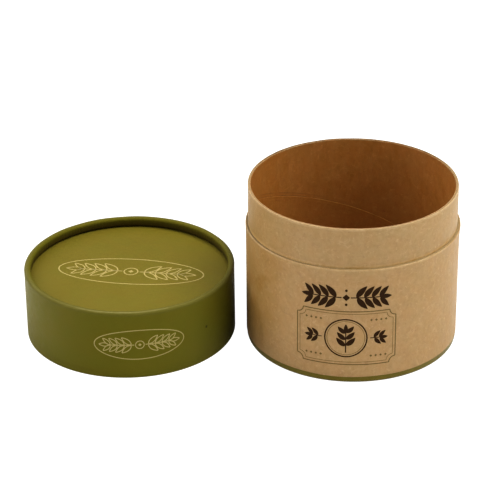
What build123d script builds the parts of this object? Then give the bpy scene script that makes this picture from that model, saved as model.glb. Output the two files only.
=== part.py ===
from build123d import *
import math
import os

# Cylindrical paper tube box with a telescoping lid, taken apart as it stands in
# use: the open box on the right, and its lid standing on its open edge to the left.
#
# Frame: millimetres, +Z up, origin at the centre of the box's foot on the surface
# that it stands on. +X points away from the lid. The printed front faces -Y.
#
# Every wall is a wound or glued stack of paper plies, so the part is a set of
# coaxial shells and discs. Each ply that is a separate sheet is its own solid.

# ------------------------------------------------------------------ dimensions
R_OUT = 50.0            # outside of the label wrap and of the lid
GLUE = 0.02             # glue line between two plies

# box: outer tube
SLEEVE_TOP = 58.94      # top edge of the outer tube, the shoulder the lid lands on
LABEL_T = 0.25          # printed kraft sheet
LABEL_FOOT = 3.2        # the label stops here, and the green foot shows below
LAP_W = 9.0             # width of the label's glued overlap
LAP_T = 0.20            # extra thickness at the overlap
LAP_AT = 78.0           # degrees from +X, at the back
COVER_R = R_OUT - LABEL_T - GLUE      # outside of the green cover paper
COVER_T = 0.13
SLEEVE_T = 0.63         # wound board behind the cover paper
FLARE = 0.45            # the outer tube's cut edge stands this far out at the top,
FLARE_H = 7.0           # starting this far below it, where the lid has worked it open

# box: rolled foot
FOOT_RO = 1.5           # outer corner radius of the roll
FOOT_FLAT = 0.5         # flat ring that touches the table
FOOT_RI = 1.6           # inner corner radius of the roll
FOOT_DROP = 0.8         # straight inner side of the roll
FOOT_RT = 1.6           # the roll's return, up against the base disc

# box: neck (inner tube that stands proud as the collar)
NECK_R = 48.92
NECK_TOP = 78.65
NECK_COVER_T = 0.18
NECK_BOARD_T = 0.90
NECK_LINING_T = 0.18

# box: base
DISC_T = 1.5
FACE_T = 0.15           # facing papers on the discs

# lid
LID_H = 34.25
LID_COVER_T = 0.15
LID_BOARD_T = 0.24      # outer ply of the wall, rolled in at the top
LID_INNER_T = 0.37      # inner ply of the wall, straight, up to the top disc
LID_LINING_T = 0.12
LID_COVER_UP = 0.15     # the cover paper is trimmed this far above the board's edge,
LID_INNER_UP = 0.10     # the inner ply this far
LID_LINING_UP = 0.4     # and the lining this far
RIM_RO = 1.5            # outer corner radius of the rolled rim
RIM_RI = 1.6            # inner corner radius of the rolled rim
RIM_DROP = 1.9          # straight inner side of the roll
RIM_RT = 1.6            # the roll's return, down against the top disc

# where the lid stands beside the box
LID_X = -105.55
LID_Y = 6.67


# ------------------------------------------------------------------ helpers
def pt(r, z):
    return Vector(r, 0, z)


def arc(c, radius, a0, a1):
    """Arc in the section plane about centre c = (r, z), from a0 to a1 degrees."""
    at = [math.radians(a) for a in (a0, (a0 + a1) / 2, a1)]
    p = [pt(c[0] + radius * math.cos(a), c[1] + radius * math.sin(a)) for a in at]
    return Edge.make_three_point_arc(*p)


def line(a, b):
    return Edge.make_line(pt(*a), pt(*b))


def turned(edges):
    """Full turn of a closed section about the tube's axis."""
    return revolve(Face(Wire(edges)), axis=Axis.Z, revolution_arc=360)


def shell(r_in, r_out, z0, z1):
    """Plain tube."""
    return turned(
        [
            line((r_in, z0), (r_out, z0)),
            line((r_out, z0), (r_out, z1)),
            line((r_out, z1), (r_in, z1)),
            line((r_in, z1), (r_in, z0)),
        ]
    )


def disc(r, z0, z1):
    return Pos(0, 0, z0) * Cylinder(
        r, z1 - z0, align=(Align.CENTER, Align.CENTER, Align.MIN)
    )


def rolled_wall(r, z_cut, z_edge, up, near, far, ro, flat, ri, drop, rt, flare=(0.0, 0.0)):
    """One ply of a straight wall whose end is rolled inwards.

    r        radius of the stack's outermost surface
    z_cut    height of the straight, cut end
    z_edge   height of the stack's outermost rolled edge
    up       +1 if the roll is on top, -1 if it is the foot
    near     depth of this ply's outer face below the stack's outer surface
    far      depth of this ply's inner face
    ro, flat, ri, drop, rt   corner radius, flat, corner radius, straight inner
             side and return radius, one after the other round the roll
    flare    how far the cut end stands out, and over what height
    """
    c1 = (r - ro, z_edge - up * ro)
    c2 = (r - ro - flat, z_edge - up * ri)
    c3 = (c2[0] - ri + rt, c2[1] - up * drop)

    def ang(a):
        return a if up > 0 else -a

    def path(d):
        """Key points of the surface at depth d."""
        return {
            "cut": (r - d + flare[0], z_cut),
            "knee": (r - d, z_cut + up * flare[1]),
            "wall": (r - d, c1[1]),
            "a": (c1, ro - d),
            "flat0": (c1[0], z_edge - up * d),
            "flat1": (c2[0], z_edge - up * d),
            "b": (c2, ri - d),
            "side0": (c2[0] - ri + d, c2[1]),
            "side1": (c2[0] - ri + d, c3[1]),
            "c": (c3, rt - d),
            "end": (c3[0], c3[1] - up * (rt - d)),
        }

    o, i = path(near), path(far)
    edges = []
    if flare[0] > 0:
        edges += [line(o["cut"], o["knee"]), line(o["knee"], o["wall"])]
    else:
        edges.append(line(o["cut"], o["wall"]))
    edges.append(arc(o["a"][0], o["a"][1], ang(0), ang(90)))
    if flat > 0:
        edges.append(line(o["flat0"], o["flat1"]))
    edges += [
        arc(o["b"][0], o["b"][1], ang(90), ang(180)),
        line(o["side0"], o["side1"]),
        arc(o["c"][0], o["c"][1], ang(180), ang(270)),
        line(o["end"], i["end"]),
        arc(i["c"][0], i["c"][1], ang(270), ang(180)),
        line(i["side1"], i["side0"]),
        arc(i["b"][0], i["b"][1], ang(180), ang(90)),
    ]
    if flat > 0:
        edges.append(line(i["flat1"], i["flat0"]))
    edges.append(arc(i["a"][0], i["a"][1], ang(90), ang(0)))
    if flare[0] > 0:
        edges += [line(i["wall"], i["knee"]), line(i["knee"], i["cut"])]
    else:
        edges.append(line(i["wall"], i["cut"]))
    edges.append(line(i["cut"], o["cut"]))
    return turned(edges)


parts = {}

# ------------------------------------------------------------------ the box
# Outer tube: wound board with its foot rolled inwards, and the green cover paper
# that is rolled with it.
sleeve_near = COVER_T + GLUE
sleeve_far = sleeve_near + SLEEVE_T
parts["outer_tube_board"] = rolled_wall(
    COVER_R, SLEEVE_TOP, 0.0, -1, sleeve_near, sleeve_far,
    FOOT_RO, FOOT_FLAT, FOOT_RI, FOOT_DROP, FOOT_RT, (FLARE, FLARE_H),
)
parts["outer_cover_paper"] = rolled_wall(
    COVER_R, SLEEVE_TOP, 0.0, -1, 0.0, COVER_T,
    FOOT_RO, FOOT_FLAT, FOOT_RI, FOOT_DROP, FOOT_RT, (FLARE, FLARE_H),
)

# Printed kraft sheet, once round the tube with a glued overlap at the back.
knee = SLEEVE_TOP - FLARE_H


def flared_sheet(r_in, r_out):
    """Section of the sheet, which follows the flare of the tube that it is glued to."""
    return [
        line((r_in, LABEL_FOOT), (r_out, LABEL_FOOT)),
        line((r_out, LABEL_FOOT), (r_out, knee)),
        line((r_out, knee), (r_out + FLARE, SLEEVE_TOP)),
        line((r_out + FLARE, SLEEVE_TOP), (r_in + FLARE, SLEEVE_TOP)),
        line((r_in + FLARE, SLEEVE_TOP), (r_in, knee)),
        line((r_in, knee), (r_in, LABEL_FOOT)),
    ]


label = turned(flared_sheet(R_OUT - LABEL_T, R_OUT))
lap_deg = math.degrees(LAP_W / R_OUT)
lap_face = Face(Wire(flared_sheet(R_OUT - LABEL_T / 2, R_OUT + LAP_T)))
lap = Rot(0, 0, LAP_AT - lap_deg / 2) * revolve(
    lap_face, axis=Axis.Z, revolution_arc=lap_deg
)
parts["printed_label_wrap"] = label + lap

# Base: a board disc with facing paper, resting on the roll's return.
foot_h = FOOT_RI + FOOT_DROP + FOOT_RT
disc_r = COVER_R - sleeve_far - 2 * GLUE
z = foot_h + GLUE
parts["base_underside_paper"] = disc(disc_r, z, z + FACE_T)
z += FACE_T + GLUE
parts["base_disc_board"] = disc(disc_r, z, z + DISC_T)
neck_foot = z + DISC_T + GLUE
NECK_R_IN = NECK_R - NECK_COVER_T - NECK_BOARD_T - NECK_LINING_T - 2 * GLUE
parts["floor_liner_paper"] = disc(NECK_R_IN - 2 * GLUE, neck_foot, neck_foot + FACE_T)

# Neck: three plies, standing on the base disc and glued inside the outer tube.
r = NECK_R
parts["neck_cover_paper"] = shell(r - NECK_COVER_T, r, neck_foot, NECK_TOP)
r -= NECK_COVER_T + GLUE
parts["neck_tube_board"] = shell(r - NECK_BOARD_T, r, neck_foot, NECK_TOP)
r -= NECK_BOARD_T + GLUE
parts["neck_lining_paper"] = shell(r - NECK_LINING_T, r, neck_foot, NECK_TOP)

# ------------------------------------------------------------------ the lid
at = Pos(LID_X, LID_Y, 0)
lid_near = LID_COVER_T + GLUE
lid_far = lid_near + LID_BOARD_T
parts["lid_cover_paper"] = at * rolled_wall(
    R_OUT, LID_COVER_UP, LID_H, 1, 0.0, LID_COVER_T,
    RIM_RO, 0.0, RIM_RI, RIM_DROP, RIM_RT,
)
parts["lid_tube_board"] = at * rolled_wall(
    R_OUT, 0.0, LID_H, 1, lid_near, lid_far,
    RIM_RO, 0.0, RIM_RI, RIM_DROP, RIM_RT,
)
z = LID_H - RIM_RI - RIM_DROP - RIM_RT - GLUE
lid_disc_r = R_OUT - lid_far - 2 * GLUE
parts["lid_face_paper"] = at * disc(lid_disc_r, z - FACE_T, z)
z -= FACE_T + GLUE
parts["lid_disc_board"] = at * disc(lid_disc_r, z - DISC_T, z)
z -= DISC_T + GLUE
parts["lid_underside_paper"] = at * disc(lid_disc_r, z - FACE_T, z)
# The inner ply's top edge carries the disc up against the roll.
z -= FACE_T + GLUE
inner_r = R_OUT - lid_far - GLUE
parts["lid_inner_board"] = at * shell(inner_r - LID_INNER_T, inner_r, LID_INNER_UP, z)
lining_r = inner_r - LID_INNER_T - GLUE
parts["lid_lining_paper"] = at * shell(lining_r - LID_LINING_T, lining_r, LID_LINING_UP, z)

# ------------------------------------------------------------------ output
os.makedirs("parts", exist_ok=True)
for name, shape in parts.items():
    solids = shape.solids()
    export_step(Compound(children=solids) if len(solids) > 1 else solids[0], f"parts/{name}.step")

print("neck inner radius", NECK_R_IN, "foot of neck", neck_foot)
print("lid lining inner radius", lining_r - LID_LINING_T, "lining top", z)
print("lid clearance on the neck", lining_r - LID_LINING_T - NECK_R)
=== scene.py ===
import math

import bmesh
import bpy
import numpy as np
from mathutils import Matrix, Vector


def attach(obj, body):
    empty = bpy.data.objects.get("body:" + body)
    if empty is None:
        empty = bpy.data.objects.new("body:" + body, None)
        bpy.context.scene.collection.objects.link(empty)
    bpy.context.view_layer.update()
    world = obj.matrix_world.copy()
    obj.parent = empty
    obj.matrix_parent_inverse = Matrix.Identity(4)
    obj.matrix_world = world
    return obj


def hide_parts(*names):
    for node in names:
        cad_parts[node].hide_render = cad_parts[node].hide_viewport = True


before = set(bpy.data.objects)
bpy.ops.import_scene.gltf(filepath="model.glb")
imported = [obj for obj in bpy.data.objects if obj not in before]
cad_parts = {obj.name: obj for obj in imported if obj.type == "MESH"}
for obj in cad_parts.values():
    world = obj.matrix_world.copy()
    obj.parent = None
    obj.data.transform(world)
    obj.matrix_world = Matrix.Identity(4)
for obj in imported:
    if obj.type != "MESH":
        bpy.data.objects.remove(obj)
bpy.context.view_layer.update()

MM = 0.001
TAU = 2 * math.pi

# ------------------------------------------------------------------ sizes, in mm
R_OUT = 50.0
GLUE = 0.02
SLEEVE_TOP = 58.94
LABEL_T = 0.25
LABEL_FOOT = 3.2
LAP_W, LAP_T, LAP_AT = 9.0, 0.20, 78.0
COVER_R = R_OUT - LABEL_T - GLUE
COVER_T = 0.13
SLEEVE_T = 0.63
FLARE, FLARE_H = 0.45, 7.0
FOOT = dict(ro=1.5, flat=0.5, ri=1.6, drop=0.8, rt=1.6)
NECK_R, NECK_TOP = 48.92, 78.65
NECK_COVER_T, NECK_BOARD_T, NECK_LINING_T = 0.18, 0.90, 0.18
DISC_T, FACE_T = 1.5, 0.15
LID_H = 34.25
LID_COVER_T, LID_BOARD_T, LID_INNER_T, LID_LINING_T = 0.15, 0.24, 0.37, 0.12
LID_COVER_UP, LID_INNER_UP, LID_LINING_UP = 0.15, 0.10, 0.4
RIM = dict(ro=1.5, flat=0.0, ri=1.6, drop=1.9, rt=1.6)
LID_AT = (-105.55, 6.67)
BOX_AT = (0.0, 0.0)
SEAM_LEAD, SEAM_Z = 0.27, 43.0      # helical seam of the lining: mm per degree, height at the back

foot_h = FOOT["ri"] + FOOT["drop"] + FOOT["rt"]
sleeve_far = COVER_T + GLUE + SLEEVE_T
base_z = foot_h + GLUE
disc_r = COVER_R - sleeve_far - 2 * GLUE
neck_foot = base_z + FACE_T + GLUE + DISC_T + GLUE
NECK_R_IN = NECK_R - NECK_COVER_T - NECK_BOARD_T - NECK_LINING_T - 2 * GLUE
lid_far = LID_COVER_T + GLUE + LID_BOARD_T
lid_face_z = LID_H - RIM["ri"] - RIM["drop"] - RIM["rt"] - GLUE
lid_disc_r = R_OUT - lid_far - 2 * GLUE


# ------------------------------------------------------------------ periodic noise for the meshes
def ripple(theta, lo, hi, seed, count=7):
    """Smooth noise round the tube, about -1 to 1, of lo to hi waves a turn."""
    rng = np.random.default_rng(seed)
    out, power = np.zeros_like(theta, dtype=float), 0.0
    for _ in range(count):
        k, a, p = int(rng.integers(lo, hi + 1)), rng.uniform(0.5, 1.0), rng.uniform(0, TAU)
        out = out + a * np.sin(k * theta + p)
        power += a * a / 2
    return np.clip(out / math.sqrt(power) / 1.6, -1, 1)


def wave2(theta, z, lo, hi, zl, seed, count=9):
    """Smooth noise over the tube's surface: lo to hi waves a turn, and zl mm waves along it."""
    rng = np.random.default_rng(seed)
    out, power = 0.0, 0.0
    for _ in range(count):
        k, a, p = int(rng.integers(lo, hi + 1)), rng.uniform(0.5, 1.0), rng.uniform(0, TAU)
        q = rng.uniform(-1, 1) * TAU / zl
        out = out + a * np.sin(k * theta + q * z + p)
        power += a * a / 2
    return np.clip(out / math.sqrt(power) / 1.6, -1, 1)


def smooth(x, a, b):
    t = np.clip((x - a) / (b - a), 0, 1)
    return t * t * (3 - 2 * t)


def out_of_round(theta, amp, seed):
    """A wound tube is never quite round. Always inwards, so that it stays in its size."""
    return -amp * (0.5 + 0.5 * ripple(theta, 2, 5, seed, 4))


# ------------------------------------------------------------------ meshes
def finish_mesh(me, sharp=38.0, normals=True):
    if normals:
        bm = bmesh.new()
        bm.from_mesh(me)
        bmesh.ops.recalc_face_normals(bm, faces=bm.faces)
        bm.to_mesh(me)
        bm.free()
    me.polygons.foreach_set("use_smooth", [True] * len(me.polygons))
    me.set_sharp_from_angle(angle=math.radians(sharp))
    me.update()


def new_object(name, me, body, nodes, mats):
    ob = bpy.data.objects.new(name, me)
    bpy.context.scene.collection.objects.link(ob)
    for m in mats:
        me.materials.append(m)
    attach(ob, body)
    if nodes:
        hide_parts(*nodes)
    return ob


def angles(n, extra=()):
    t = np.arange(n) * TAU / n
    if len(extra):
        t = np.unique(np.concatenate([t, np.radians(np.array(extra)) % TAU]).round(9))
    return t


def turned(loop, thetas, at, warp=None, pick=None):
    """A closed section, a list of (r, z) in mm, turned once round the axis at `at`.
    warp(theta, r, z) gives what to add to r and z. pick(j) gives the material index of the strip from point j on."""
    loop = np.array(loop, float)
    T, P = len(thetas), len(loop)
    th = np.repeat(thetas[:, None], P, 1)
    r = np.repeat(loop[None, :, 0], T, 0)
    z = np.repeat(loop[None, :, 1], T, 0)
    if warp is not None:
        dr, dz = warp(th, r, z)
        r, z = r + dr, z + dz
    co = np.stack([at[0] + r * np.cos(th), at[1] + r * np.sin(th), z], -1) * MM
    t, p = np.meshgrid(np.arange(T), np.arange(P), indexing="ij")
    t2, p2 = (t + 1) % T, (p + 1) % P
    quads = np.stack([t * P + p, t2 * P + p, t2 * P + p2, t * P + p2], -1).reshape(-1, 4)
    me = bpy.data.meshes.new("turned")
    me.from_pydata(co.reshape(-1, 3).tolist(), [], quads.tolist())
    # UV: u is the length round a 50 mm circle, v the length along the section, both in mm / 100
    seg = np.hypot(*(np.roll(loop, -1, 0) - loop).T)
    v0 = np.concatenate([[0], np.cumsum(seg)])
    uv = me.uv_layers.new(name="UVMap")
    th_next = np.concatenate([thetas[1:], [thetas[0] + TAU]])
    u_a = np.repeat(thetas[:, None], P, 1) * 0.5
    u_b = np.repeat(th_next[:, None], P, 1) * 0.5
    v_a = np.repeat(v0[None, :-1], T, 0) * 0.01
    v_b = np.repeat(v0[None, 1:], T, 0) * 0.01
    data = np.stack([u_a, v_a, u_b, v_a, u_b, v_b, u_a, v_b], -1).reshape(-1)
    uv.data.foreach_set("uv", data.astype(np.float32))
    if pick is not None:
        idx = np.array([pick(j) for j in range(P)])
        me.polygons.foreach_set("material_index", np.tile(idx, T).astype(np.int32))
    return me


def arc_points(c, radius, a0, a1, n):
    a = np.radians(np.linspace(a0, a1, n))
    return [(c[0] + radius * math.cos(x), c[1] + radius * math.sin(x)) for x in a]


def run_points(a, b, n):
    """n points from a towards b, without b."""
    return [(a[0] + (b[0] - a[0]) * k / n, a[1] + (b[1] - a[1]) * k / n) for k in range(n)]


def rolled_section(r, z_cut, z_edge, up, near, far, ro, flat, ri, drop, rt, fine=12, wall=14, near_cut=()):
    """One ply of a straight wall whose end is rolled inwards, as in the CAD model: (points, tags)."""
    c1 = (r - ro, z_edge - up * ro)
    c2 = (r - ro - flat, z_edge - up * ri)
    c3 = (c2[0] - ri + rt, c2[1] - up * drop)

    def ang(a):
        return a if up > 0 else -a

    def side(d):
        pts = [(r - d, z_cut)] + [(r - d, z_cut + up * q) for q in sorted(near_cut)]
        pts += run_points((r - d, z_cut + up * (max(near_cut) + 0.5 if near_cut else 0)), (r - d, c1[1]), wall)[0 if near_cut else 1:]
        pts += arc_points(c1, ro - d, ang(0), ang(90), fine)
        pts += arc_points(c2, ri - d, ang(90), ang(180), fine)[0 if flat > 0 else 1:]
        pts += run_points((c2[0] - ri + d, c2[1]), (c2[0] - ri + d, c3[1]), 4)[1:]
        pts += arc_points(c3, rt - d, ang(180), ang(270), fine)
        return pts

    o, i = side(near), side(far)[::-1]
    return o + i, len(o)


def ring_section(r0, r1, z0, z1, nz, soft=0.04, nr=1, near_top=()):
    """Section of a plain tube with its corners eased by `soft`. near_top adds points that far below its top."""
    s = min(soft, (r1 - r0) * 0.3)
    zs = [z for _, z in run_points((0, z0 + s), (0, z1 - s), nz)]
    zs = sorted([z for z in zs if not near_top or z < z1 - max(near_top) - 0.2] + [z1 - d for d in near_top if d > s])
    pts = []
    pts += [(r0 + s, z0)] + run_points((r0 + s, z0), (r1 - s, z0), max(nr, 1))[1:] + [(r1 - s, z0)]
    pts += [(r1, z) for z in zs] + [(r1, z1 - s)]
    pts += [(r1 - s, z1)] + run_points((r1 - s, z1), (r0 + s, z1), max(nr, 1))[1:] + [(r0 + s, z1)]
    pts += [(r0, z1 - s)] + [(r0, z) for z in zs[::-1]]
    return pts


NEAR_TOP = (1.6, 1.2, 0.9, 0.7, 0.52, 0.38, 0.26, 0.17, 0.10)


def worn_edge(r, z, top, r_in, r_out, outer, inner, h):
    """How far a cut edge's plies lean together: the edge is rounded, not square."""
    t = np.clip((z - (top - h)) / h, 0, 1)
    f = 1 - np.sqrt(np.clip(1 - t * t, 0, 1))
    k = np.clip((r - r_in) / (r_out - r_in), 0, 1)
    return f * (inner * (1 - k) - outer * k)


def disc_mesh(r, z0, z1, at, n=256, soft=0.05, warp=None, rings=26):
    """A round sheet with eased edges: polar rings on both faces, welded at the middle."""
    rr = list(np.linspace(0, r - soft, rings)[1:])
    sect = [(x, z0) for x in rr] + [(r, z0 + soft), (r, z1 - soft)] + [(x, z1) for x in rr[::-1]]
    T, P = n, len(sect)
    thetas = angles(n)
    sect = np.array(sect)
    th = np.repeat(thetas[:, None], P, 1)
    R = np.repeat(sect[None, :, 0], T, 0)
    Z = np.repeat(sect[None, :, 1], T, 0)
    if warp is not None:
        dr, dz = warp(th, R, Z)
        R, Z = R + dr, Z + dz
    co = np.stack([at[0] + R * np.cos(th), at[1] + R * np.sin(th), Z], -1).reshape(-1, 3) * MM
    low, high = len(co), len(co) + 1
    verts = co.tolist() + [[at[0] * MM, at[1] * MM, z0 * MM], [at[0] * MM, at[1] * MM, z1 * MM]]
    faces = []
    for t in range(T):
        u = (t + 1) % T
        for p in range(P - 1):
            faces.append((t * P + p, u * P + p, u * P + p + 1, t * P + p + 1))
        faces.append((low, u * P, t * P))
        faces.append((high, t * P + P - 1, u * P + P - 1))
    me = bpy.data.meshes.new("disc")
    me.from_pydata(verts, [], faces)
    return me


# ------------------------------------------------------------------ materials
class Nodes:
    def __init__(self, name):
        self.mat = bpy.data.materials.new(name)
        self.mat.use_nodes = True
        self.nt = self.mat.node_tree
        self.nt.nodes.clear()
        self.out = self.nt.nodes.new("ShaderNodeOutputMaterial")
        self.bsdf = self.nt.nodes.new("ShaderNodeBsdfPrincipled")
        self.nt.links.new(self.bsdf.outputs[0], self.out.inputs[0])
        self.coord = self.nt.nodes.new("ShaderNodeTexCoord")

    def link(self, a, b):
        self.nt.links.new(a, b)

    def set(self, sock, v):
        if isinstance(v, bpy.types.NodeSocket):
            self.link(v, sock)
        else:
            sock.default_value = v

    def mapping(self, vec, scale, loc=(0, 0, 0), rot=(0, 0, 0)):
        n = self.nt.nodes.new("ShaderNodeMapping")
        self.link(vec, n.inputs["Vector"])
        n.inputs["Scale"].default_value = scale
        n.inputs["Location"].default_value = loc
        n.inputs["Rotation"].default_value = rot
        return n.outputs[0]

    def obj(self, scale=(1, 1, 1), loc=(0, 0, 0), rot=(0, 0, 0)):
        return self.mapping(self.coord.outputs["Object"], scale, loc, rot)

    def uv(self, scale=(1, 1, 1), loc=(0, 0, 0)):
        return self.mapping(self.coord.outputs["UV"], scale, loc)

    def noise(self, vec, scale, detail=2.0, rough=0.5, dist=0.0):
        n = self.nt.nodes.new("ShaderNodeTexNoise")
        n.noise_dimensions = "3D"
        self.link(vec, n.inputs["Vector"])
        n.inputs["Scale"].default_value = scale
        n.inputs["Detail"].default_value = detail
        n.inputs["Roughness"].default_value = rough
        n.inputs["Distortion"].default_value = dist
        return n.outputs[0]

    def math(self, op, a, b=0.0, c=0.0, clamp=False):
        n = self.nt.nodes.new("ShaderNodeMath")
        n.operation = op
        n.use_clamp = clamp
        self.set(n.inputs[0], a)
        if len(n.inputs) > 1:
            self.set(n.inputs[1], b)
        if len(n.inputs) > 2 and op in ("MULTIPLY_ADD", "SMOOTH_MIN", "SMOOTH_MAX", "COMPARE"):
            self.set(n.inputs[2], c)
        return n.outputs[0]

    def ramp(self, v, a, b, lo=0.0, hi=1.0, smooth=True):
        n = self.nt.nodes.new("ShaderNodeMapRange")
        n.interpolation_type = "SMOOTHSTEP" if smooth else "LINEAR"
        self.set(n.inputs["Value"], v)
        n.inputs["From Min"].default_value = a
        n.inputs["From Max"].default_value = b
        n.inputs["To Min"].default_value = lo
        n.inputs["To Max"].default_value = hi
        return n.outputs[0]

    def mix(self, fac, a, b, mode="MIX"):
        n = self.nt.nodes.new("ShaderNodeMix")
        n.data_type = "RGBA"
        n.blend_type = mode
        n.clamp_factor = True
        self.set(n.inputs[0], fac)
        self.set(n.inputs[6], a)
        self.set(n.inputs[7], b)
        return n.outputs[2]

    def split(self, vec):
        n = self.nt.nodes.new("ShaderNodeSeparateXYZ")
        self.link(vec, n.inputs[0])
        return n.outputs

    def bump(self, height, dist, strength=1.0, normal=None):
        n = self.nt.nodes.new("ShaderNodeBump")
        n.inputs["Distance"].default_value = dist
        n.inputs["Strength"].default_value = strength
        self.link(height, n.inputs["Height"])
        if normal is not None:
            self.link(normal, n.inputs["Normal"])
        return n.outputs[0]


def rgb(r, g, b):
    """Colour given as 0-255 sRGB, to linear."""
    def lin(c):
        c /= 255
        return c / 12.92 if c <= 0.04045 else ((c + 0.055) / 1.055) ** 2.4
    return (lin(r), lin(g), lin(b), 1.0)


def scaled(c, k):
    return (min(c[0] * k, 1), min(c[1] * k, 1), min(c[2] * k, 1), 1.0)


# how much of a lighter or darker spot goes to each channel, so that it reads as lighter or darker, not as another hue
EVEN_KRAFT = (0.71, 1.08, 3.6)
EVEN_LINING = (0.68, 1.10, 4.4)
EVEN_GREEN = (0.84, 0.96, 3.9)
EVEN_BOARD = (0.90, 1.02, 1.6)


def shade(c, k, even):
    """Colour c made k times as light, by the channels' weights in `even`."""
    return tuple(min(c[i] * max(1 + (k - 1) * even[i], 0.04), 1) for i in range(3)) + (1.0,)


def toned(n, tone, even):
    """The factor that a tone of about 1 puts on each channel."""
    out = n.nt.nodes.new("ShaderNodeCombineColor")
    for i in range(3):
        n.link(n.math("MAXIMUM", n.math("MULTIPLY_ADD", n.math("SUBTRACT", tone, 1.0), even[i], 1.0), 0.04), out.inputs[i])
    return out.outputs[0]


def fibres(n, vec, scale, width, seed, lo=0.56, hi=0.62):
    """Short thin curled fibres: a thin band where a noise crosses its middle, broken up by another."""
    a = n.noise(n.mapping(vec, (1, 1, 1), (seed, seed * 1.7, -seed)), scale, 0.0, 0.5, 0.7)
    line = n.ramp(n.math("ABSOLUTE", n.math("SUBTRACT", a, 0.5)), 0.0, width, 1.0, 0.0)
    b = n.noise(n.mapping(vec, (1, 1, 1), (-seed, seed, seed * 2.3)), scale * 0.8, 0.0)
    return n.math("MULTIPLY", line, n.ramp(b, lo, hi))


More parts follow.
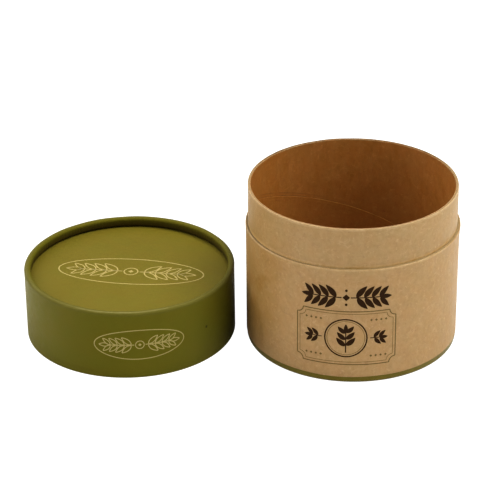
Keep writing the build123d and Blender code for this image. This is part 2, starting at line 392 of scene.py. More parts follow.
def kraft(name, base, cloud=0.13, fleck=1.0, rough=(0.54, 0.66), spec=0.5, streak=0.012, seam_at=None, edge=None, painted_light_band=None, even=EVEN_KRAFT):
    """Brown kraft paper: cloudy formation, long fibres, flecks, faint machine streaks and a fine tooth."""
    n = Nodes(name)
    o = n.obj()
    big = n.noise(o, 80.0, 2.0, 0.5)
    mid = n.noise(n.obj((1, 1, 0.7)), 230.0, 2.0, 0.6, 0.6)
    small = n.noise(n.obj((1, 1, 0.8), (0.7, 0.2, 0.5)), 560.0, 2.0, 0.6)
    fine = n.noise(o, 1700.0, 2.0, 0.6)
    streaks = n.noise(n.obj((1, 1, 0.08), (0.3, 0.1, 0)), 520.0, 2.0, 0.5)
    tone = n.math("MULTIPLY_ADD", n.math("SUBTRACT", big, 0.5), cloud * 1.3, 1.0)
    tone = n.math("MULTIPLY_ADD", n.math("SUBTRACT", mid, 0.5), cloud * 3.1, tone)
    tone = n.math("MULTIPLY_ADD", n.math("SUBTRACT", small, 0.5), cloud * 3.0, tone)
    tone = n.math("MULTIPLY_ADD", n.math("SUBTRACT", fine, 0.5), cloud * 0.6, tone)
    tone = n.math("MULTIPLY_ADD", n.math("SUBTRACT", streaks, 0.5), streak * 2.0, tone)
    # warmer and cooler patches
    hue = n.noise(n.obj((1, 1, 1), (1.3, 0.7, 0.2)), 150.0, 2.0, 0.5)
    warm = scaled((base[0] * 1.015, base[1] * 0.99, base[2] * 0.95, 1), 1)
    cool = scaled((base[0] * 0.985, base[1] * 1.01, base[2] * 1.04, 1), 1)
    col = n.mix(n.ramp(hue, 0.35, 0.65), warm, cool)
    col = n.mix(1.0, col, toned(n, tone, even), "MULTIPLY")
    dark = fibres(n, o, 620.0, 0.022, 0.37)
    light = fibres(n, o, 540.0, 0.02, 1.91)
    # long curled fibres that lie deeper and show soft
    soft_dark = fibres(n, o, 190.0, 0.030, 4.13, 0.50, 0.60)
    soft_light = fibres(n, o, 230.0, 0.034, 2.77, 0.50, 0.60)
    col = n.mix(n.math("MULTIPLY", soft_dark, 0.21 * fleck), col, shade(base, 0.45, even))
    col = n.mix(n.math("MULTIPLY", soft_light, 0.32 * fleck), col, shade(base, 1.5, even))
    col = n.mix(n.math("MULTIPLY", dark, 0.38 * fleck), col, shade(base, 0.52, even))
    col = n.mix(n.math("MULTIPLY", light, 0.42 * fleck), col, shade(base, 1.38, even))
    # bark specks and pale flecks, a millimetre or so across
    speck = n.noise(n.obj((1, 1, 1), (5.1, 3.3, 0.9)), 640.0, 1.0, 0.5)
    col = n.mix(n.ramp(speck, 0.66, 0.76, 0.0, 0.25 * fleck), col, shade(base, 0.50, even))
    pale = n.noise(n.obj((1, 1, 1), (7.9, 1.3, 2.9)), 600.0, 1.0, 0.5)
    col = n.mix(n.ramp(pale, 0.64, 0.74, 0.0, 0.40 * fleck), col, shade(base, 1.48, even))
    if edge is not None:
        # (height, depth, amount) in mm: the paper is scuffed pale along its cut edge, in uneven lengths
        z = n.math("MULTIPLY", n.split(n.coord.outputs["Object"])[2], 1000.0)
        d = n.math("MULTIPLY_ADD", n.math("SUBTRACT", n.noise(o, 210.0, 3.0, 0.6), 0.5), 0.9, n.math("SUBTRACT", edge[0], z))
        part = n.ramp(n.noise(n.obj((1, 1, 1), (0.6, 0.1, 0.7)), 48.0, 3.0, 0.6), 0.36, 0.60, 0.45, 1.0)
        dash = n.ramp(n.noise(n.obj((1, 1, 1), (0.9, 0.4, 0.3)), 620.0, 2.0, 0.6), 0.34, 0.60, 0.45, 1.0)
        band = n.math("MULTIPLY", n.math("MULTIPLY", n.ramp(d, 0.3, edge[1], 1.0, 0.0), part), dash)
        col = n.mix(n.math("MULTIPLY", band, edge[2]), col, SCUFF)
    if painted_light_band is not None:
        # (height, depth, gain by channel) in mm: painted light, the collar made paler just above this height to cancel
        # the shade that falls where the outer tube's top meets it
        z = n.math("MULTIPLY", n.split(n.coord.outputs["Object"])[2], 1000.0)
        d = n.math("MULTIPLY_ADD", n.math("SUBTRACT", n.noise(o, 260.0, 2.0, 0.5), 0.5), 0.5, n.math("SUBTRACT", z, painted_light_band[0]))
        col = n.mix(n.ramp(d, 0.0, painted_light_band[1], 1.0, 0.0), col, n.mix(1.0, col, (*painted_light_band[2], 1), "MULTIPLY"))
    if seam_at is not None:
        # the helical butt of the lining: a frayed pale cut edge, its paleness partly painted highlight, stronger on the
        # right and weak on the left; above it a thin dark line, partly the glued join and partly painted shade, darker
        # on the left; and on the left a line of painted shade in the crease 1.5 to 2.1 mm above
        at, lead, z0 = seam_at
        x, y, z = n.split(n.coord.outputs["Object"])[0:3]
        ang = n.math("DEGREES", n.math("ARCTAN2", y, x))
        turns = n.math("MULTIPLY", n.math("FLOOR", n.math("DIVIDE", n.math("ADD", ang, 48.0), 360.0)), 360.0)
        ang = n.math("SUBTRACT", ang, turns)
        line = n.math("MULTIPLY_ADD", n.math("SUBTRACT", ang, 90.0), lead, z0)
        d = n.math("SUBTRACT", n.math("MULTIPLY", z, 1000.0), line)
        d = n.math("MULTIPLY_ADD", n.math("SUBTRACT", n.noise(o, 330.0, 3.0, 0.6), 0.5), 0.30, d)
        broken = n.ramp(n.noise(n.obj((1, 1, 1), (0.2, 0.9, 0.4)), 130.0, 3.0, 0.6), 0.36, 0.56, 0.35, 1.0)
        edge = n.math("MULTIPLY", n.ramp(d, -0.45, -0.12), n.ramp(d, 0.0, 0.14, 1.0, 0.0))
        glue_and_shade_line = n.math("MULTIPLY", n.ramp(d, 0.02, 0.16), n.ramp(d, 0.30, 0.60, 1.0, 0.0))
        crease_shade_line = n.math("MULTIPLY", n.ramp(d, 1.5, 1.7), n.ramp(d, 1.85, 2.1, 1.0, 0.0))
        xm = n.math("MULTIPLY", x, 1000.0)
        col = n.mix(n.math("MULTIPLY", n.math("MULTIPLY", glue_and_shade_line, broken), n.ramp(xm, -34.0, 6.0, 0.55, 0.22)), col, scaled(base, 0.35))
        col = n.mix(n.math("MULTIPLY", n.math("MULTIPLY", crease_shade_line, broken), n.ramp(xm, -30.0, 0.0, 0.40, 0.0)), col, scaled(base, 0.40))
        col = n.mix(n.math("MULTIPLY", n.math("MULTIPLY", edge, broken), n.ramp(xm, -34.0, 6.0, 0.06, 0.26)), col, scaled((base[0], base[1] * 1.3, base[2] * 2.2, 1), 2.1))
    n.set(n.bsdf.inputs["Base Color"], col)
    n.set(n.bsdf.inputs["Roughness"], n.ramp(mid, 0.3, 0.7, rough[0], rough[1], False))
    n.bsdf.inputs["Specular IOR Level"].default_value = spec
    h = n.math("MULTIPLY_ADD", fine, 0.6, small)
    h = n.math("MULTIPLY_ADD", light, 0.35, h)
    h = n.math("MULTIPLY_ADD", dark, 0.35, h)
    n.link(n.bump(h, 0.00006, 0.55), n.bsdf.inputs["Normal"])
    return n.mat


def board(name, base, ply=0.35, painted_shade_side=None):
    """Raw wound board: torn fibre edge, fine plies across its thickness."""
    n = Nodes(name)
    o = n.obj()
    mid = n.noise(o, 700.0, 4.0, 0.7)
    fine = n.noise(o, 2600.0, 2.0, 0.6)
    tone = n.math("MULTIPLY_ADD", n.math("SUBTRACT", mid, 0.5), 0.35, 1.0)
    tone = n.math("MULTIPLY_ADD", n.math("SUBTRACT", fine, 0.5), 0.30, tone)
    grey = toned(n, tone, EVEN_BOARD)
    col = n.mix(1.0, base, grey, "MULTIPLY")
    # plies: rings of slightly different shade, by distance along the section
    v = n.split(n.coord.outputs["UV"])[1]
    saw = n.math("PINGPONG", n.math("MULTIPLY", v, 100.0), 0.14)
    ring = n.ramp(saw, 0.02, 0.07, 1.0, 0.0)
    col = n.mix(n.math("MULTIPLY", ring, ply), col, scaled(base, 0.6))
    if painted_shade_side is not None:
        # (y0, y1, colour) in mm: painted shade, the cut end made darker towards the back, from y0 on
        y = n.math("MULTIPLY", n.split(n.coord.outputs["Object"])[1], 1000.0)
        col = n.mix(n.ramp(y, painted_shade_side[0], painted_shade_side[1]), col, n.mix(1.0, painted_shade_side[2], grey, "MULTIPLY"))
    n.set(n.bsdf.inputs["Base Color"], col)
    n.bsdf.inputs["Roughness"].default_value = 0.88
    n.bsdf.inputs["Specular IOR Level"].default_value = 0.3
    n.link(n.bump(n.math("MULTIPLY_ADD", fine, 0.7, mid), 0.0001, 0.8), n.bsdf.inputs["Normal"])
    return n.mat


def green(name, base, rough=(0.46, 0.56), spec=0.56, wear=None, bands=(), specks=()):
    """Olive dyed paper: even colour, faint fibre and cloud, smoother than kraft. wear is (v, width, amount, x0, x1): along the
    section in mm, and from x0 to x1 mm, where it is strongest."""
    n = Nodes(name)
    o = n.obj()
    big = n.noise(o, 60.0, 3.0, 0.55)
    mid = n.noise(o, 380.0, 4.0, 0.6)
    fine = n.noise(o, 1900.0, 2.0, 0.6)
    tone = n.math("MULTIPLY_ADD", n.math("SUBTRACT", big, 0.5), 0.10, 1.0)
    tone = n.math("MULTIPLY_ADD", n.math("SUBTRACT", mid, 0.5), 0.14, tone)
    tone = n.math("MULTIPLY_ADD", n.math("SUBTRACT", fine, 0.5), 0.10, tone)
    grey = toned(n, tone, EVEN_GREEN)
    hue = n.noise(n.obj((1, 1, 1), (2.3, 0.7, 0.2)), 110.0, 2.0, 0.5)
    a = (base[0] * 0.985, base[1] * 1.008, base[2] * 1.0, 1)
    b = (base[0] * 1.015, base[1] * 0.995, base[2] * 1.0, 1)
    col = n.mix(n.ramp(hue, 0.35, 0.65), a, b)
    col = n.mix(1.0, col, grey, "MULTIPLY")
    light = fibres(n, o, 480.0, 0.016, 0.9)
    col = n.mix(n.math("MULTIPLY", light, 0.16), col, shade(base, 1.6, EVEN_GREEN))
    for tint, v0, v1, v2, v3 in bands:
        # (colour, v0, v1, v2, v3) along the section in mm: comes in from v0 to v1 and goes out from v2 to v3
        v = n.math("MULTIPLY", n.split(n.coord.outputs["UV"])[1], 100.0)
        on = n.math("MULTIPLY", n.ramp(v, v0, v1), n.ramp(v, v2, v3, 1.0, 0.0))
        col = n.mix(on, col, n.mix(1.0, tint, grey, "MULTIPLY"))
    for px, py, pz, size, amount in specks:
        v = n.nt.nodes.new("ShaderNodeVectorMath")
        v.operation = "DISTANCE"
        n.link(n.coord.outputs["Object"], v.inputs[0])
        v.inputs[1].default_value = (px * MM, py * MM, pz * MM)
        d = n.math("MULTIPLY_ADD", n.math("SUBTRACT", fine, 0.5), 0.4, n.math("MULTIPLY", v.outputs["Value"], 1000.0))
        col = n.mix(n.ramp(d, size * 0.35, size, amount, 0.0), col, scaled(base, 0.15))
    if wear is not None:
        # the dye is rubbed off along the crest of the fold, in broken lengths
        v = n.split(n.coord.outputs["UV"])[1]
        d = n.math("ABSOLUTE", n.math("SUBTRACT", n.math("MULTIPLY", v, 100.0), wear[0]))
        wob = n.noise(o, 160.0, 3.0, 0.6)
        band = n.ramp(n.math("SUBTRACT", d, n.math("MULTIPLY_ADD", wob, 0.7, -0.35)), 0.0, wear[1], 1.0, 0.0)
        brk = n.ramp(n.noise(n.obj((1, 1, 1), (0.11, 0.4, 0.9)), 75.0, 4.0, 0.65), 0.42, 0.60)
        spot = n.ramp(n.noise(n.obj((1, 1, 1), (0.5, 0.2, 0.9)), 900.0, 2.0, 0.6), 0.35, 0.6)
        amount = n.math("MULTIPLY", band, n.math("MULTIPLY_ADD", n.math("MULTIPLY", brk, spot), 0.45, 0.50))
        x, y, _ = n.split(n.coord.outputs["Object"])[0:3]
        x = n.math("MULTIPLY", x, 1000.0)
        here = n.math("MULTIPLY", n.ramp(x, wear[3] - 6.0, wear[3] + 6.0), n.ramp(x, wear[4] - 6.0, wear[4] + 6.0, 1.0, 0.0))
        here = n.math("MULTIPLY", here, n.ramp(y, 0.0, 0.01, 1.0, 0.0))
        amount = n.math("MULTIPLY", amount, n.math("MULTIPLY_ADD", here, 0.82, 0.18))
        col = n.mix(n.math("MULTIPLY", amount, wear[2]), col, rgb(205, 198, 158))
    n.set(n.bsdf.inputs["Base Color"], col)
    n.set(n.bsdf.inputs["Roughness"], n.ramp(mid, 0.3, 0.7, rough[0], rough[1], False))
    n.bsdf.inputs["Specular IOR Level"].default_value = spec
    n.bsdf.inputs["Specular Tint"].default_value = (0.26, 0.23, 0.09, 1)
    n.link(n.bump(n.math("MULTIPLY_ADD", fine, 0.5, mid), 0.00005, 0.45), n.bsdf.inputs["Normal"])
    return n.mat


def ink(name, base, light, thin=0.25, rough=(0.5, 0.66), spec=0.5, tint=(1, 1, 1, 1)):
    """Printing ink that lies thin on the paper's tooth, so that a little paper shows through."""
    n = Nodes(name)
    o = n.obj()
    fine = n.noise(o, 1500.0, 3.0, 0.6)
    mid = n.noise(o, 300.0, 2.0, 0.5)
    k = n.math("MULTIPLY", n.ramp(fine, 0.45, 0.75), thin * 2)
    k = n.math("MULTIPLY_ADD", n.math("SUBTRACT", mid, 0.5), thin, k, True)
    n.set(n.bsdf.inputs["Base Color"], n.mix(k, base, light))
    n.set(n.bsdf.inputs["Roughness"], n.ramp(fine, 0.3, 0.7, rough[0], rough[1], False))
    n.bsdf.inputs["Specular IOR Level"].default_value = spec
    n.bsdf.inputs["Specular Tint"].default_value = tint
    n.link(n.bump(fine, 0.00004, 0.4), n.bsdf.inputs["Normal"])
    return n.mat


KRAFT = (0.213, 0.118, 0.0252, 1)
KRAFT_IN = (0.248, 0.1005, 0.0104, 1)
SCUFF = (0.302, 0.204, 0.094, 1)
GREEN_TOP = (0.1040, 0.0836, 0.0099, 1)
GREEN_SIDE = (0.0852, 0.0742, 0.0060, 1)
# painted highlight: the crest of the lid's roll lighter and greyer, for the light and sheen it catches
GREEN_CREST_PAINTED_LIGHT = (0.0850, 0.0745, 0.0150, 1)
# painted shade: the inner side of the lid's roll, down into the recess
GREEN_PAINTED_SHADE = (0.0465, 0.0335, 0.0036, 1)
GREEN_FOOT = (0.1020, 0.0790, 0.0130, 1)

m_label = kraft("kraft_label", KRAFT, spec=0.88, edge=(SLEEVE_TOP, 1.3, 0.60))
# the collar carries a band of painted light just above the outer tube's top
m_collar = kraft("kraft_collar", (0.211, 0.1205, 0.0278, 1), spec=0.88, edge=(NECK_TOP, 1.5, 0.74), painted_light_band=(SLEEVE_TOP, 2.0, (1.52, 1.62, 2.25)))
m_lining = kraft("kraft_lining", (0.230, 0.113, 0.0210, 1), cloud=0.11, fleck=0.9, spec=0.6)
m_collar_lining = kraft("kraft_lining_wound", KRAFT_IN, cloud=0.11, fleck=0.9, spec=0.6, even=EVEN_LINING, edge=(NECK_TOP, 0.7, 0.85),
                        seam_at=(BOX_AT, SEAM_LEAD, SEAM_Z))
m_board = board("wound_board", (0.27, 0.180, 0.090, 1))
m_sleeve_board = board("sleeve_board", (0.213, 0.153, 0.077, 1))
# painted shade: the collar board's cut end is darker on its back side
m_rim_board = board("collar_board", (0.190, 0.130, 0.066, 1), painted_shade_side=(8.0, 36.0, (0.085, 0.042, 0.011, 1)))
m_core = board("paper_core", (0.255, 0.180, 0.088, 1), 0.0)
m_chip = board("disc_board", (0.25, 0.19, 0.12, 1), 0.2)
m_foot = green("green_foot", GREEN_FOOT)
m_face = green("green_face", GREEN_TOP, spec=0.86)
m_under = green("green_under", GREEN_FOOT)
m_ink = ink("dark_ink", (0.0145, 0.0056, 0.0010, 1), (0.045, 0.022, 0.005, 1), 0.16, spec=0.16, tint=(1.0, 0.62, 0.36, 1))
m_rule = ink("olive_ink", (0.0836, 0.0511, 0.0081, 1), (0.136, 0.0837, 0.0182, 1), 0.25, spec=0.25)
m_gold = ink("pale_gold_ink", (0.253, 0.203, 0.075, 1), (0.155, 0.121, 0.034, 1), 0.25, (0.40, 0.50))
m_gold_side = ink("rubbed_gold_ink", (0.217, 0.172, 0.046, 1), (0.133, 0.102, 0.021, 1), 0.30, (0.42, 0.52))


# ------------------------------------------------------------------ box: outer tube
def label_warp_r(th, z):
    """Outside of the label: hardly ever quite round, and thicker at its glued overlap at the back."""
    d = np.degrees(th) % 360
    half = math.degrees(LAP_W / R_OUT) / 2
    climb = smooth(d, LAP_AT - half, LAP_AT - half + 2.4)
    drop = 1 - smooth(d, LAP_AT + half - 0.14, LAP_AT + half)
    return LAP_T * climb * drop + out_of_round(th, 0.035, 3) + 0.012 * (wave2(th, z, 3, 14, 40, 4) - 1) - 0.02


half = math.degrees(LAP_W / R_OUT) / 2
lap_angles = [LAP_AT - half + x for x in (0, 0.3, 0.6, 0.9, 1.2, 1.5, 1.8, 2.1, 2.4)]
lap_angles += [LAP_AT + half - x for x in (0.30, 0.14, 0.10, 0.05, 0.0)]
TH_LABEL = angles(480, lap_angles)


def flare(th, z):
    """The outer tube's mouth has been worked open by the lid, most of all on its right."""
    k = np.clip((z - (SLEEVE_TOP - FLARE_H)) / FLARE_H, 0, 1) ** 1.5
    return FLARE * k * (0.32 + 0.62 * (0.5 + 0.5 * np.cos(th - 0.15)))


def sleeve_edge(th, r, z):
    spread = 0.10 + 0.90 * np.clip((r - (COVER_R - sleeve_far)) / SLEEVE_T, 0, 1)
    return flare(th, z) * spread + worn_edge(r, z, SLEEVE_TOP, R_OUT - 1.05, R_OUT, 0.30, 0.0, 0.62)


def w_label(th, r, z):
    outer = smooth(r, R_OUT - LABEL_T * 0.75, R_OUT - LABEL_T * 0.25)
    dr = label_warp_r(th, z) * outer
    edge = 0.03 * (ripple(th, 3, 30, 8) - 1)
    foot = 0.10 * (ripple(th, 2, 14, 12) + 1)
    top = smooth(z, SLEEVE_TOP - 2, SLEEVE_TOP)
    bottom = 1 - smooth(z, LABEL_FOOT, LABEL_FOOT + 2)
    return dr + sleeve_edge(th, r, z), edge * top + foot * bottom


me = turned(ring_section(R_OUT - LABEL_T, R_OUT, LABEL_FOOT, SLEEVE_TOP, 28, 0.05, near_top=NEAR_TOP), TH_LABEL, BOX_AT, w_label)
finish_mesh(me)
new_object("label_wrap", me, "box", ["printed_label_wrap"], [m_label])

TH = angles(480)


def w_foot(th, r, z):
    """Fine pleats where the foot is rolled in: the roll's inner side is shorter round than the wall."""
    inner = smooth(COVER_R - r, 1.2, 2.6) * (1 - smooth(z, foot_h - 0.4, foot_h))
    pleat = 0.045 * ripple(th, 120, 210, 21) + 0.05 * ripple(th, 20, 60, 22)
    return inner * pleat + sleeve_edge(th, r, z), 0 * th


def cut_ends(no, total):
    """Strips of a rolled ply that are its two cut edges."""
    return lambda j: 1 if j in (no - 1, total - 1) else 0


sect, no = rolled_section(COVER_R, SLEEVE_TOP, 0.0, -1, 0.0, COVER_T, **FOOT, near_cut=NEAR_TOP)
me = turned(sect, TH, BOX_AT, w_foot, cut_ends(no, len(sect)))
finish_mesh(me)
new_object("cover_paper", me, "box", ["outer_cover_paper"], [m_foot, m_core])

sect, no = rolled_section(COVER_R, SLEEVE_TOP, 0.0, -1, COVER_T + GLUE, sleeve_far, **FOOT, near_cut=NEAR_TOP)
me = turned(sect, TH, BOX_AT, w_foot)
finish_mesh(me)
new_object("tube_board", me, "box", ["outer_tube_board"], [m_sleeve_board])

# ------------------------------------------------------------------ box: base
def w_flat(amp, seed, r_full):
    def w(th, r, z):
        x, y = r * np.cos(th), r * np.sin(th)
        rng = np.random.default_rng(seed)
        out = 0.0
        for _ in range(8):
            k, p, a = rng.uniform(0.04, 0.16), rng.uniform(0, TAU), rng.uniform(0, TAU)
            out = out + np.sin(k * (x * math.cos(a) + y * math.sin(a)) + p) / 8
        return 0 * th, amp * out * (1 - smooth(r, r_full * 0.8, r_full))
    return w


z = base_z
me = disc_mesh(disc_r, z, z + FACE_T, BOX_AT, soft=0.03, warp=w_flat(0.02, 5, disc_r))
finish_mesh(me)
new_object("base_paper", me, "box", ["base_underside_paper"], [m_under])
z += FACE_T + GLUE
me = disc_mesh(disc_r, z, z + DISC_T, BOX_AT, soft=0.08, warp=w_flat(0.02, 5, disc_r))
finish_mesh(me)
new_object("base_board", me, "box", ["base_disc_board"], [m_chip])
me = disc_mesh(NECK_R_IN - 2 * GLUE, neck_foot, neck_foot + FACE_T, BOX_AT, soft=0.03, warp=w_flat(0.02, 5, disc_r))
finish_mesh(me)
new_object("floor_paper", me, "box", ["floor_liner_paper"], [m_lining])


# ------------------------------------------------------------------ box: neck
def neck_round(th, z):
    return out_of_round(th, 0.05, 31) * smooth(z, SLEEVE_TOP - 8, NECK_TOP)


def neck_edge(r, z):
    return worn_edge(r, z, NECK_TOP, NECK_R_IN, NECK_R, 0.15, 0.03, 0.60)


def w_neck(th, r, z):
    top = smooth(z, NECK_TOP - 1.5, NECK_TOP)
    return neck_round(th, z) + neck_edge(r, z), 0.04 * (ripple(th, 4, 40, 33) - 1) * top


r = NECK_R
me = turned(ring_section(r - NECK_COVER_T, r, neck_foot, NECK_TOP, 30, 0.05, near_top=NEAR_TOP), TH, BOX_AT, w_neck)
finish_mesh(me)
new_object("collar_paper", me, "box", ["neck_cover_paper"], [m_collar])
r -= NECK_COVER_T + GLUE


def w_neck_board(th, r, z):
    top = smooth(z, NECK_TOP - 1.5, NECK_TOP)
    ragged = 0.04 * (ripple(th, 4, 40, 33) - 1) + 0.02 * (ripple(th, 60, 150, 35) - 1)
    return neck_round(th, z) + neck_edge(r, z), ragged * top


me = turned(ring_section(r - NECK_BOARD_T, r, neck_foot, NECK_TOP, 30, 0.06, nr=5, near_top=NEAR_TOP), TH, BOX_AT, w_neck_board)
finish_mesh(me)
new_object("collar_board", me, "box", ["neck_tube_board"], [m_rim_board])
r -= NECK_BOARD_T + GLUE


def seam_distance(th, z):
    """Height above the helical seam of the lining, in mm, for angles from the seam's start."""
    d = (np.degrees(th) + 48) % 360 - 48
    return z - (SEAM_Z + SEAM_LEAD * (d - 90))


def w_lining(th, r, z):
    inner = 1 - smooth(r, NECK_R_IN, NECK_R_IN + NECK_LINING_T * 0.5)
    d = seam_distance(th, z)
    crease = -0.035 * np.exp(-((d - 1.9) / 0.4) ** 2)
    top = smooth(z, NECK_TOP - 1.5, NECK_TOP)
    return neck_round(th, z) + neck_edge(r, z) + inner * crease, 0.04 * (ripple(th, 4, 40, 33) - 1) * top


me = turned(ring_section(r - NECK_LINING_T, r, neck_foot, NECK_TOP, 150, 0.05, near_top=NEAR_TOP), angles(360), BOX_AT, w_lining)
finish_mesh(me, 60)
new_object("collar_lining", me, "box", ["neck_lining_paper"], [m_collar_lining])


def lap_mesh(z_low, z_high):
    """The lining is wound from a strip: along its helix the strip's upper edge lies 0.08 mm proud of the turn above."""
    d = np.array([-5.5, -4.6, -3.6, -2.8, -2.2, -1.9, -1.6, -1.2, -0.8, -0.45, -0.20, -0.05, 0.0])
    up = np.array([-0.03, -0.01, 0.01, 0.02, 0.035, 0.06, 0.04, 0.045, 0.055, 0.065, 0.075, 0.07, 0.05])
    back = np.full_like(d, -0.06)
    loop_d, loop_u = np.concatenate([d, d[::-1]]), np.concatenate([up, back])
    t0 = 90 + (z_low - 3 - SEAM_Z) / SEAM_LEAD
    t1 = 90 + (z_high + 8 - SEAM_Z) / SEAM_LEAD
    th = np.radians(np.linspace(t0, t1, 420))
    T, P = len(th), len(loop_d)
    TH2, D2 = np.repeat(th[:, None], P, 1), np.repeat(loop_d[None], T, 0)
    fray = 0.05 * ripple(TH2, 60, 170, 71) * smooth(D2, -1.0, 0.0)
    zz = SEAM_Z + SEAM_LEAD * (np.degrees(TH2) - 90) + D2 + fray
    rr = NECK_R_IN - loop_u[None] + neck_round(TH2, zz) + neck_edge(NECK_R_IN + 0 * zz, zz)
    co = np.stack([BOX_AT[0] + rr * np.cos(TH2), BOX_AT[1] + rr * np.sin(TH2), zz], -1).reshape(-1, 3) * MM
    faces = [(t * P + p, (t + 1) * P + p, (t + 1) * P + (p + 1) % P, t * P + (p + 1) % P) for t in range(T - 1) for p in range(P)]
    faces += [tuple(range(P)), tuple((T - 1) * P + p for p in range(P))[::-1]]
    me = bpy.data.meshes.new("lap")
    me.from_pydata(co.tolist(), [], faces)
    bm = bmesh.new()
    bm.from_mesh(me)
    for z, no in ((z_low, -1), (z_high, 1)):
        bmesh.ops.bisect_plane(bm, geom=bm.verts[:] + bm.edges[:] + bm.faces[:], plane_co=(0, 0, z * MM), plane_no=(0, 0, no), clear_outer=True)
        bmesh.ops.holes_fill(bm, edges=[e for e in bm.edges if e.is_boundary], sides=0)
    bm.to_mesh(me)
    bm.free()
    return me


me = lap_mesh(neck_foot + FACE_T + 0.03, NECK_TOP - 0.30)
finish_mesh(me, 50)
new_object("collar_lining_lap", me, "box", [], [m_collar_lining])


# ------------------------------------------------------------------ lid
def w_rim(th, r, z):
    """Lumps and fine pleats of the rolled rim, and a wall that is hardly out of round."""
    inner = smooth(R_OUT - r, 1.0, 2.4) * smooth(z, lid_face_z - 0.2, lid_face_z + 0.5)
    pleat = 0.05 * ripple(th, 110, 190, 41) + 0.05 * ripple(th, 14, 40, 42)
    crest = smooth(z, LID_H - 1.4, LID_H)
    dz = 0.06 * (ripple(th, 3, 16, 43) - 1) * crest
    wall = out_of_round(th, 0.04, 44) * (1 - smooth(z, LID_H - 4, LID_H - 1))
    return inner * pleat + wall - 0.02, dz


LID_LAP_W, LID_LAP_T, LID_LAP_AT = 8.0, 0.14, 128.0
half = math.degrees(LID_LAP_W / R_OUT) / 2
lid_lap_angles = [LID_LAP_AT - half + x for x in (0, 0.3, 0.6, 0.9, 1.2, 1.5, 1.8)]
lid_lap_angles += [LID_LAP_AT + half - x for x in (0.26, 0.14, 0.10, 0.05, 0.0)]


def w_lid_cover(th, r, z):
    """The cover's glued overlap: a step up the wall and over the crest."""
    dr, dz = w_rim(th, r, z)
    d = np.degrees(th) % 360
    lap = smooth(d, LID_LAP_AT - half, LID_LAP_AT - half + 1.8) * (1 - smooth(d, LID_LAP_AT + half - 0.14, LID_LAP_AT + half))
    out = smooth(r, R_OUT - LID_COVER_T * 0.75, R_OUT - LID_COVER_T * 0.25)
    return dr + LID_LAP_T * lap * out, dz


sect, no = rolled_section(R_OUT, LID_COVER_UP, LID_H, 1, 0.0, LID_COVER_T, **RIM, fine=16)
wall_len = LID_H - RIM["ro"] - LID_COVER_UP
crest_v = wall_len + RIM["ro"] * math.radians(66)
m_lid = green("green_lid_cover", GREEN_SIDE, rough=(0.54, 0.66), spec=0.30, wear=(crest_v, 0.70, 0.15, -126.0, -86.0),
              # a painted highlight along the crest of the roll
              bands=((GREEN_CREST_PAINTED_LIGHT, wall_len - 1.2, wall_len + 1.2, wall_len + 2.6, wall_len + 3.6),
                     # painted shade down the roll's inner side into the recess
                     (GREEN_PAINTED_SHADE, wall_len + 3.6, wall_len + 6.8, wall_len + 12.0, wall_len + 13.0)),
              specks=((-68.68, -27.10, 17.75, 0.95, 0.9),))
me = turned(sect, angles(600, lid_lap_angles), LID_AT, w_lid_cover, cut_ends(no, len(sect)))
finish_mesh(me)
new_object("lid_cover", me, "lid", ["lid_cover_paper"], [m_lid, m_core])

sect, no = rolled_section(R_OUT, 0.0, LID_H, 1, LID_COVER_T + GLUE, lid_far, **RIM)
me = turned(sect, TH, LID_AT, w_rim)
finish_mesh(me)
new_object("lid_board", me, "lid", ["lid_tube_board"], [m_board])

z = lid_face_z
w_lid_face = w_flat(0.10, 55, lid_disc_r)
me = disc_mesh(lid_disc_r, z - FACE_T, z, LID_AT, soft=0.03, warp=w_lid_face, n=360)
finish_mesh(me)
new_object("lid_face", me, "lid", ["lid_face_paper"], [m_face])
z -= FACE_T + GLUE
me = disc_mesh(lid_disc_r, z - DISC_T, z, LID_AT, soft=0.08, warp=w_lid_face)
finish_mesh(me)
new_object("lid_disc", me, "lid", ["lid_disc_board"], [m_chip])
z -= DISC_T + GLUE
me = disc_mesh(lid_disc_r, z - FACE_T, z, LID_AT, soft=0.03, warp=w_lid_face)
finish_mesh(me)
new_object("lid_under", me, "lid", ["lid_underside_paper"], [m_lining])
z -= FACE_T + GLUE
r = R_OUT - lid_far - GLUE
me = turned(ring_section(r - LID_INNER_T, r, LID_INNER_UP, z, 24, 0.04, nr=3), angles(360), LID_AT, lambda th, r, z: (out_of_round(th, 0.04, 44), 0 * th))
finish_mesh(me)
new_object("lid_inner", me, "lid", ["lid_inner_board"], [m_board])
r -= LID_INNER_T + GLUE
me = turned(ring_section(r - LID_LINING_T, r, LID_LINING_UP, z, 24, 0.03), angles(360), LID_AT, lambda th, r, z: (out_of_round(th, 0.04, 44), 0 * th))
finish_mesh(me)
new_object("lid_lining", me, "lid", ["lid_lining_paper"], [m_lining])


# ------------------------------------------------------------------ prints
def resample(pts, step, closed=False):
    p = np.array(pts, float)
    if closed:
        p = np.vstack([p, p[:1]])
    d = np.hypot(*np.diff(p, axis=0).T)
    s = np.concatenate([[0], np.cumsum(d)])
    n = max(2, int(math.ceil(s[-1] / step)) + 1)
    t = np.linspace(0, s[-1], n)
    out = np.stack([np.interp(t, s, p[:, 0]), np.interp(t, s, p[:, 1])], 1)
    return out[:-1] if closed else out


